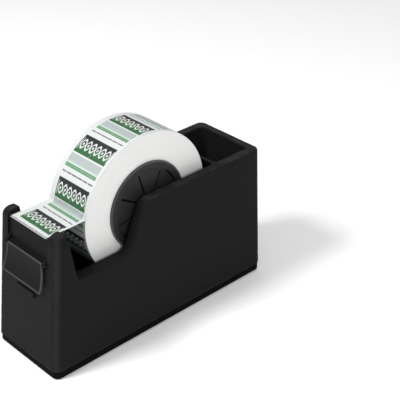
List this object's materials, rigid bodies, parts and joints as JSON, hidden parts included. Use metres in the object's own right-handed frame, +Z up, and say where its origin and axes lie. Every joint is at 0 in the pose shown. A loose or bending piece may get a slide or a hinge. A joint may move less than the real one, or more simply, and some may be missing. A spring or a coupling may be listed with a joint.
{
  "type": "tape dispenser",
  "caption": "Weighted bench tape dispenser with a printed tape roll on a lift-out hub, a toothed cutter blade, a hinged guard flap and a bin behind the roll.",
  "frame": {"origin": "bottom centre of the bounding box, on the bench under the middle of the casing", "axes": "+Z up, -Y towards the blade, +X to the right for someone who faces the blade and looks along +Y; the mirror plane of the object is x = 0"},
  "size_m": [0.087, 0.2546, 0.1895],
  "materials": {
    "casing_plastic": "fine moulded grain",
    "base_plastic": "fine moulded grain",
    "ballast_iron": "rough cast",
    "screw_steel": "zinc plated",
    "foot_rubber": "matt",
    "bridge_plastic": "satin",
    "blade_steel": "ground",
    "guard_plastic": "satin",
    "hub_plastic": "satin",
    "core_card": "wound card",
    "tape_film": "printed film"
  },
  "bodies": {
    "base": {"casing": "casing_plastic", "base_plate": "base_plastic", "ballast_block": "ballast_iron", "ballast_screws": "screw_steel", "base_screws": "screw_steel", "foot_front_left": "foot_rubber", "foot_front_right": "foot_rubber", "foot_rear_left": "foot_rubber", "foot_rear_right": "foot_rubber", "tape_bridge": "bridge_plastic", "cutter_blade": "blade_steel", "blade_screws": "screw_steel", "guard_pin": "screw_steel"},
    "guard": {"blade_guard": "guard_plastic"},
    "roll_carrier": {"hub_spindle": "screw_steel", "spindle_clips": "screw_steel", "tape_lead": "tape_film"},
    "hub": {"hub_half_left": "hub_plastic", "hub_half_right": "hub_plastic", "tape_core": "core_card", "tape_roll": "tape_film"}
  },
  "joints": [
    {"name": "guard_hinge", "type": "hinge", "parent": "base", "child": "guard", "pos_m": [0, -0.1183, 0.1086], "axis": [-1, 0, 0], "range_deg": [0, 160]},
    {"name": "roll_lift", "type": "slide", "parent": "base", "child": "roll_carrier", "axis": [0, 0, 1], "range_m": [0, 0.11]},
    {"name": "hub_spin", "type": "hinge", "parent": "roll_carrier", "child": "hub", "pos_m": [0, -0.004, 0.1205], "axis": [1, 0, 0], "continuous": true}
  ]
}
